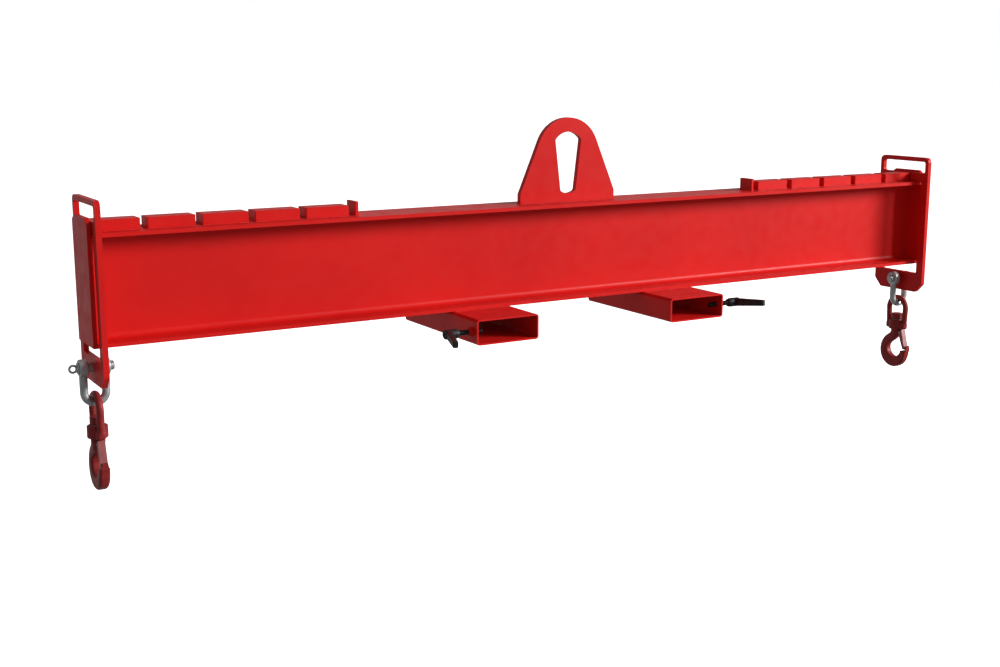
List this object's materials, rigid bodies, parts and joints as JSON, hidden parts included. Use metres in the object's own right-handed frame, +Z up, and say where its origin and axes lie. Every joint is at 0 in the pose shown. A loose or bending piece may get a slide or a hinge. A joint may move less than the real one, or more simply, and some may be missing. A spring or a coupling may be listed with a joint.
{
  "type": "lifting spreader beam",
  "caption": "Adjustable lifting spreader beam with a central lug, notched hanger positions, swivel hooks on shackles and fork pockets with clamp levers.",
  "frame": {"origin": "crown of the slot in the central lifting lug, on the plate's mid-plane, where the crane hook carries the beam", "axes": "+X along the beam, +Y across it away from the hooks' mouths, +Z up"},
  "size_m": [3.1218, 0.5343, 0.9632],
  "materials": {
    "red_paint": "gloss red powder coat",
    "maroon_paint": "dark red paint on forged steel",
    "latch_paint": "faded dark red paint on sheet steel",
    "galvanised_steel": "hot-dip galvanised, dull grey",
    "bright_steel": "zinc plated",
    "black_steel": "black oxide steel, slightly oily",
    "lever_coating": "fine-textured black coating on die-cast metal"
  },
  "bodies": {
    "beam": {"main_beam": "red_paint", "lifting_lug": "red_paint", "end_plate_left": "red_paint", "end_plate_right": "red_paint", "stop_plate_left": "red_paint", "stop_plate_right": "red_paint", "notch_block_1_left": "red_paint", "notch_block_1_right": "red_paint", "notch_block_2_left": "red_paint", "notch_block_2_right": "red_paint", "notch_block_3_left": "red_paint", "notch_block_3_right": "red_paint", "notch_block_4_left": "red_paint", "notch_block_4_right": "red_paint", "notch_block_5_left": "red_paint", "notch_block_5_right": "red_paint", "fork_pocket_left": "red_paint", "fork_pocket_right": "red_paint", "clamp_boss_left": "red_paint", "clamp_boss_right": "red_paint"},
    "hanger_left": {"hanger_frame_left": "red_paint"},
    "shackle_left": {"shackle_bow_left": "galvanised_steel", "shackle_pin_left": "galvanised_steel"},
    "link_left": {"swivel_link_left": "maroon_paint"},
    "hook_left": {"hook_body_left": "maroon_paint", "swivel_nut_left": "maroon_paint", "swivel_nut_pin_left": "bright_steel", "swivel_washer_left": "bright_steel", "latch_pin_left": "bright_steel"},
    "latch_left": {"hook_latch_left": "latch_paint", "latch_spring_left": "bright_steel"},
    "clamp_stud_left": {"clamp_stud_left": "black_steel"},
    "clamp_drive_left": {"clamp_insert_left": "black_steel", "clamp_screw_left": "black_steel", "clamp_spring_left": "bright_steel"},
    "clamp_handle_left": {"clamp_handle_left": "lever_coating"},
    "hanger_right": {"hanger_frame_right": "red_paint"},
    "shackle_right": {"shackle_bow_right": "galvanised_steel", "shackle_pin_right": "galvanised_steel"},
    "link_right": {"swivel_link_right": "maroon_paint"},
    "hook_right": {"hook_body_right": "maroon_paint", "swivel_nut_right": "maroon_paint", "swivel_nut_pin_right": "bright_steel", "swivel_washer_right": "bright_steel", "latch_pin_right": "bright_steel"},
    "latch_right": {"hook_latch_right": "latch_paint", "latch_spring_right": "bright_steel"},
    "clamp_stud_right": {"clamp_stud_right": "black_steel"},
    "clamp_drive_right": {"clamp_insert_right": "black_steel", "clamp_screw_right": "black_steel", "clamp_spring_right": "bright_steel"},
    "clamp_handle_right": {"clamp_handle_right": "lever_coating"}
  },
  "joints": [
    {"name": "hanger_lift_left", "type": "slide", "parent": "beam", "child": "hanger_left", "axis": [0, 0, 1], "range_m": [0, 0.033]},
    {"name": "shackle_swing_left", "type": "hinge", "parent": "hanger_left", "child": "shackle_left", "pos_m": [-1.4955, 0, -0.58], "axis": [1, 0, 0], "range_deg": [-30, 30]},
    {"name": "link_swing_left", "type": "hinge", "parent": "shackle_left", "child": "link_left", "pos_m": [-1.4955, 0, -0.6765], "axis": [1, 0, 0], "range_deg": [-30, 30]},
    {"name": "hook_swivel_left", "type": "hinge", "parent": "link_left", "child": "hook_left", "pos_m": [-1.4955, 0, -0.75], "axis": [0, 0, 1], "continuous": true},
    {"name": "latch_open_left", "type": "hinge", "parent": "hook_left", "child": "latch_left", "pos_m": [-1.4955, -0.026, -0.785], "axis": [1, 0, 0], "range_deg": [0, 35], "stiffness_Nm_per_rad": 0.15, "springref_deg": -28.65},
    {"name": "clamp_advance_left", "type": "slide", "parent": "beam", "child": "clamp_stud_left", "axis": [1, 0, 0], "range_m": [-0.0275, 0.0285]},
    {"name": "clamp_turn_left", "type": "hinge", "parent": "clamp_stud_left", "child": "clamp_drive_left", "pos_m": [-0.48, -0.198, -0.556], "axis": [1, 0, 0], "range_deg": [-4950, 5130]},
    {"name": "handle_pull_left", "type": "slide", "parent": "clamp_drive_left", "child": "clamp_handle_left", "axis": [-1, 0, 0], "range_m": [0, 0.004], "stiffness_N_per_m": 900, "springref_m": -0.004, "deforming": ["clamp_spring_left"]},
    {"name": "hanger_lift_right", "type": "slide", "parent": "beam", "child": "hanger_right", "axis": [0, 0, 1], "range_m": [0, 0.033]},
    {"name": "shackle_swing_right", "type": "hinge", "parent": "hanger_right", "child": "shackle_right", "pos_m": [1.4915, 0, -0.58], "axis": [1, 0, 0], "range_deg": [-30, 30]},
    {"name": "link_swing_right", "type": "hinge", "parent": "shackle_right", "child": "link_right", "pos_m": [1.4915, 0, -0.6765], "axis": [1, 0, 0], "range_deg": [-30, 30]},
    {"name": "hook_swivel_right", "type": "hinge", "parent": "link_right", "child": "hook_right", "pos_m": [1.4915, 0, -0.75], "axis": [0, 0, 1], "continuous": true},
    {"name": "latch_open_right", "type": "hinge", "parent": "hook_right", "child": "latch_right", "pos_m": [1.4915, -0.026, -0.785], "axis": [1, 0, 0], "range_deg": [0, 35], "stiffness_Nm_per_rad": 0.15, "springref_deg": -28.65},
    {"name": "clamp_advance_right", "type": "slide", "parent": "beam", "child": "clamp_stud_right", "axis": [-1, 0, 0], "range_m": [-0.0275, 0.0285]},
    {"name": "clamp_turn_right", "type": "hinge", "parent": "clamp_stud_right", "child": "clamp_drive_right", "pos_m": [0.48, -0.198, -0.556], "axis": [-1, 0, 0], "range_deg": [-4950, 5130]},
    {"name": "handle_pull_right", "type": "slide", "parent": "clamp_drive_right", "child": "clamp_handle_right", "axis": [1, 0, 0], "range_m": [0, 0.004], "stiffness_N_per_m": 900, "springref_m": -0.004, "deforming": ["clamp_spring_right"]}
  ],
  "couplings": [
    {"joint": "clamp_advance_left", "follows": "clamp_turn_left", "m_per_rad": 0.00031831},
    {"joint": "clamp_advance_right", "follows": "clamp_turn_right", "m_per_rad": 0.00031831}
  ]
}
